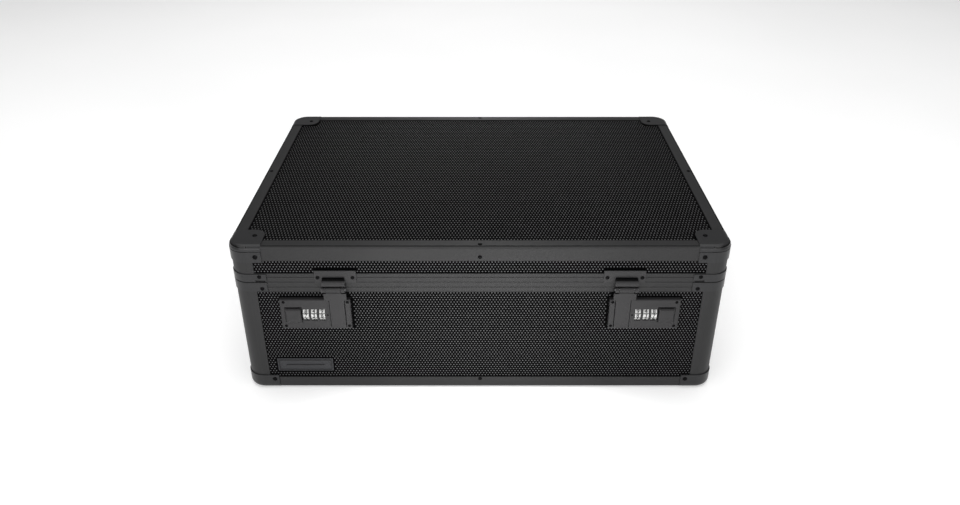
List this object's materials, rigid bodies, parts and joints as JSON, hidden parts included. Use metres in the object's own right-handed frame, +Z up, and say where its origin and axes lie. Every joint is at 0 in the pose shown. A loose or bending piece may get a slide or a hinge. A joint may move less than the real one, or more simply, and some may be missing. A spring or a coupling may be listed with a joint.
{
  "type": "drone carrying case",
  "caption": "Lockable framed hard case with a hinged lid, combination locks with hasps, drop handles, a folding lid stay, a lid pocket and a coiled steel tether.",
  "frame": {"origin": "on the floor under the middle of the case", "axes": "+X along the case's length towards the end with the tether, -Y towards the locks, +Z up"},
  "size_m": [0.51, 0.4259, 0.166],
  "materials": {
    "panel_skin": "black embossed sheet with a satin stipple",
    "trim_metal": "dark grey satin powder coat",
    "cap_metal": "dark grey satin powder coat",
    "lock_metal": "dark grey satin powder coat",
    "rivet_metal": "black semi-gloss",
    "dial_white": "white with dark digits",
    "pin_steel": "bright zinc plate",
    "stay_steel": "nickel plate",
    "plate_metal": "dark grey satin",
    "handle_metal": "grey satin powder coat",
    "grip_rubber": "matte black",
    "lining_fabric": "black woven lining",
    "pocket_fabric": "black open mesh",
    "binding_fabric": "black woven tape",
    "grommet_rubber": "matte black",
    "cable_vinyl": "clear grey vinyl over steel strand",
    "ferrule_metal": "black semi-gloss"
  },
  "bodies": {
    "case_base": {"base_front_panel": "panel_skin", "base_back_panel": "panel_skin", "base_left_panel": "panel_skin", "base_right_panel": "panel_skin", "base_bottom_panel": "panel_skin", "base_wall_lining": "lining_fabric", "base_floor_pad": "lining_fabric", "base_bottom_trim": "trim_metal", "base_corner_posts": "trim_metal", "base_corner_caps": "cap_metal", "base_rim_frame": "trim_metal", "base_rim_braces": "cap_metal", "base_hinge_leaves": "trim_metal", "hinge_pins": "pin_steel", "cable_grommet": "grommet_rubber", "left_lock_housing": "lock_metal", "right_lock_housing": "lock_metal", "dial_axles": "pin_steel", "nameplate": "plate_metal", "handle_mounts": "handle_metal", "stay_base_bracket": "stay_steel", "base_rivets": "rivet_metal", "tether_wall_anchor": "ferrule_metal", "tether_cable": "cable_vinyl", "tether_coil": "cable_vinyl", "tether_end_eye": "ferrule_metal"},
    "lid": {"lid_long_panels": "panel_skin", "lid_end_panels": "panel_skin", "lid_top_panel": "panel_skin", "lid_top_trim": "trim_metal", "lid_corner_posts": "trim_metal", "lid_corner_caps": "cap_metal", "lid_rim_frame": "trim_metal", "lid_rim_braces": "cap_metal", "lid_wall_lining": "lining_fabric", "lid_lining_pad": "lining_fabric", "pocket_mesh": "pocket_fabric", "pocket_binding": "binding_fabric", "lid_hinge_leaves": "trim_metal", "left_hasp_keeper": "lock_metal", "right_hasp_keeper": "lock_metal", "hasp_pins": "pin_steel", "stay_lid_bracket": "stay_steel", "lid_rivets": "rivet_metal"},
    "left_hasp": {"left_hasp": "lock_metal"},
    "right_hasp": {"right_hasp": "lock_metal"},
    "left_dial_1": {"left_dial_1": "dial_white"},
    "left_dial_2": {"left_dial_2": "dial_white"},
    "left_dial_3": {"left_dial_3": "dial_white"},
    "left_lock_button": {"left_lock_button": "lock_metal"},
    "left_handle": {"left_handle": "handle_metal", "left_handle_grip": "grip_rubber"},
    "right_dial_1": {"right_dial_1": "dial_white"},
    "right_dial_2": {"right_dial_2": "dial_white"},
    "right_dial_3": {"right_dial_3": "dial_white"},
    "right_lock_button": {"right_lock_button": "lock_metal"},
    "right_handle": {"right_handle": "handle_metal", "right_handle_grip": "grip_rubber"},
    "stay_lower_link": {"stay_lower_link": "stay_steel"},
    "stay_upper_link": {"stay_upper_link": "stay_steel"}
  },
  "joints": [
    {"name": "lid_hinge", "type": "hinge", "parent": "case_base", "child": "lid", "pos_m": [0, 0.1739, 0.126], "axis": [-1, 0, 0], "range_deg": [0, 100]},
    {"name": "left_hasp_hinge", "type": "hinge", "parent": "lid", "child": "left_hasp", "pos_m": [-0.138, -0.1738, 0.1201], "axis": [-1, 0, 0], "range_deg": [0, 130]},
    {"name": "right_hasp_hinge", "type": "hinge", "parent": "lid", "child": "right_hasp", "pos_m": [0.138, -0.1738, 0.1201], "axis": [-1, 0, 0], "range_deg": [0, 130]},
    {"name": "left_dial_1_spin", "type": "hinge", "parent": "case_base", "child": "left_dial_1", "pos_m": [-0.1666, -0.1675, 0.0911], "axis": [-1, 0, 0], "continuous": true},
    {"name": "left_dial_2_spin", "type": "hinge", "parent": "case_base", "child": "left_dial_2", "pos_m": [-0.1589, -0.1675, 0.0911], "axis": [-1, 0, 0], "continuous": true},
    {"name": "left_dial_3_spin", "type": "hinge", "parent": "case_base", "child": "left_dial_3", "pos_m": [-0.1511, -0.1675, 0.0911], "axis": [-1, 0, 0], "continuous": true},
    {"name": "left_lock_button_slide", "type": "slide", "parent": "case_base", "child": "left_lock_button", "axis": [-1, 0, 0], "range_m": [0, 0.0035], "stiffness_N_per_m": 150, "springref_m": -0.002},
    {"name": "left_handle_hinge", "type": "hinge", "parent": "case_base", "child": "left_handle", "pos_m": [-0.2385, 0, 0.098], "axis": [0, 1, 0], "range_deg": [0, 95]},
    {"name": "right_dial_1_spin", "type": "hinge", "parent": "case_base", "child": "right_dial_1", "pos_m": [0.1666, -0.1675, 0.0911], "axis": [-1, 0, 0], "continuous": true},
    {"name": "right_dial_2_spin", "type": "hinge", "parent": "case_base", "child": "right_dial_2", "pos_m": [0.1589, -0.1675, 0.0911], "axis": [-1, 0, 0], "continuous": true},
    {"name": "right_dial_3_spin", "type": "hinge", "parent": "case_base", "child": "right_dial_3", "pos_m": [0.1511, -0.1675, 0.0911], "axis": [-1, 0, 0], "continuous": true},
    {"name": "right_lock_button_slide", "type": "slide", "parent": "case_base", "child": "right_lock_button", "axis": [1, 0, 0], "range_m": [0, 0.0035], "stiffness_N_per_m": 150, "springref_m": -0.002},
    {"name": "right_handle_hinge", "type": "hinge", "parent": "case_base", "child": "right_handle", "pos_m": [0.2385, 0, 0.098], "axis": [0, -1, 0], "range_deg": [0, 95]},
    {"name": "stay_lower_pivot", "type": "hinge", "parent": "case_base", "child": "stay_lower_link", "pos_m": [-0.2205, 0.0969, 0.12], "axis": [-1, 0, 0], "range_deg": [0, 109.5]},
    {"name": "stay_upper_pivot", "type": "hinge", "parent": "lid", "child": "stay_upper_link", "pos_m": [-0.2183, 0.0969, 0.132], "axis": [1, 0, 0], "range_deg": [0, 109.5]}
  ],
  "couplings": [
    {"joint": "stay_lower_pivot", "follows": "lid_hinge", "ratio": 1.0895},
    {"joint": "stay_upper_pivot", "follows": "lid_hinge", "ratio": 1.0895}
  ]
}
